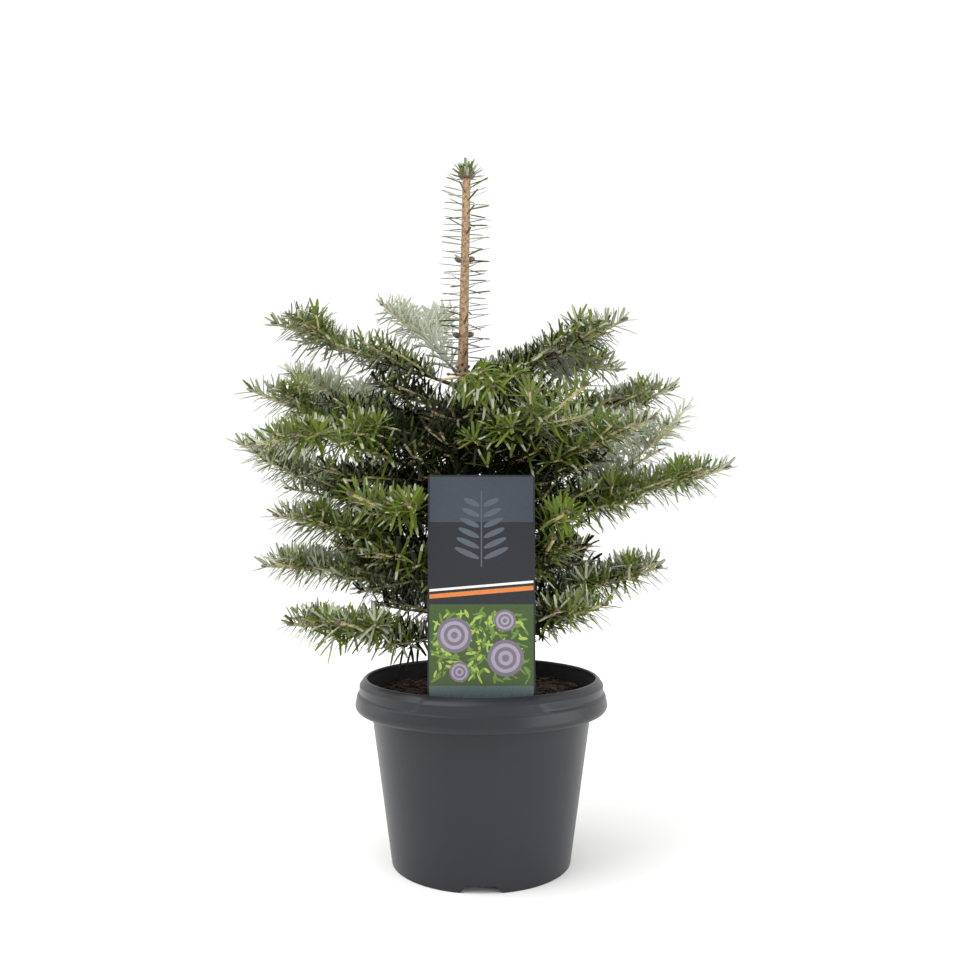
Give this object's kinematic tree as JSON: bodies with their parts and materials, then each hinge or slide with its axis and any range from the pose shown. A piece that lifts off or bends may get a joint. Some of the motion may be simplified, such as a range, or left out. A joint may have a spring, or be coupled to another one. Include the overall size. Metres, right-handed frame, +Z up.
{
  "type": "potted korean fir",
  "caption": "Young Korean fir with whorled boughs of short needles and a bare upright leader, growing in a tapered nursery pot with a plain plant card.",
  "frame": {"origin": "centre of the flat underside of the pot's hub, level with the pot's foot ring", "axes": "+Z up along the pot's axis; -Y towards the front, where the plant card stands; +X to the right seen from the front"},
  "size_m": [0.3936, 0.3062, 0.5306],
  "materials": {
    "pot": "satin",
    "soil": "rough",
    "bark": "rough",
    "foliage": "satin",
    "card": "satin"
  },
  "bodies": {
    "root": {"bough_fourth_back_left": "bark", "bough_fourth_back_right": "bark", "bough_fourth_front": "bark", "bough_fourth_left": "bark", "bough_fourth_right": "bark", "bough_low_back": "bark", "bough_low_left": "bark", "bough_low_right": "bark", "bough_second_back": "bark", "bough_second_back_left": "bark", "bough_second_far_right": "bark", "bough_second_front_left": "bark", "bough_second_front_right": "bark", "bough_second_left": "bark", "bough_second_right": "bark", "bough_third_back": "bark", "bough_third_back_right": "bark", "bough_third_far_left": "bark", "bough_third_front": "bark", "bough_third_front_left": "bark", "bough_third_left": "bark", "bough_third_right": "bark", "bough_top_back_left": "bark", "bough_top_back_right": "bark", "bough_top_front": "bark", "bough_top_left": "bark", "bough_top_right": "bark", "foliage_fourth_back_left": "foliage", "foliage_fourth_back_right": "foliage", "foliage_fourth_front": "foliage", "foliage_fourth_left": "foliage", "foliage_fourth_right": "foliage", "foliage_low_back": "foliage", "foliage_low_left": "foliage", "foliage_low_right": "foliage", "foliage_second_back": "foliage", "foliage_second_back_left": "foliage", "foliage_second_far_right": "foliage", "foliage_second_front_left": "foliage", "foliage_second_front_right": "foliage", "foliage_second_left": "foliage", "foliage_second_right": "foliage", "foliage_third_back": "foliage", "foliage_third_back_right": "foliage", "foliage_third_far_left": "foliage", "foliage_third_front": "foliage", "foliage_third_front_left": "foliage", "foliage_third_left": "foliage", "foliage_third_right": "foliage", "foliage_top_back_left": "foliage", "foliage_top_back_right": "foliage", "foliage_top_front": "foliage", "foliage_top_left": "foliage", "foliage_top_right": "foliage", "plant_card": "card", "pot": "pot", "soil": "soil", "trunk": "bark"}
  },
  "joints": []
}
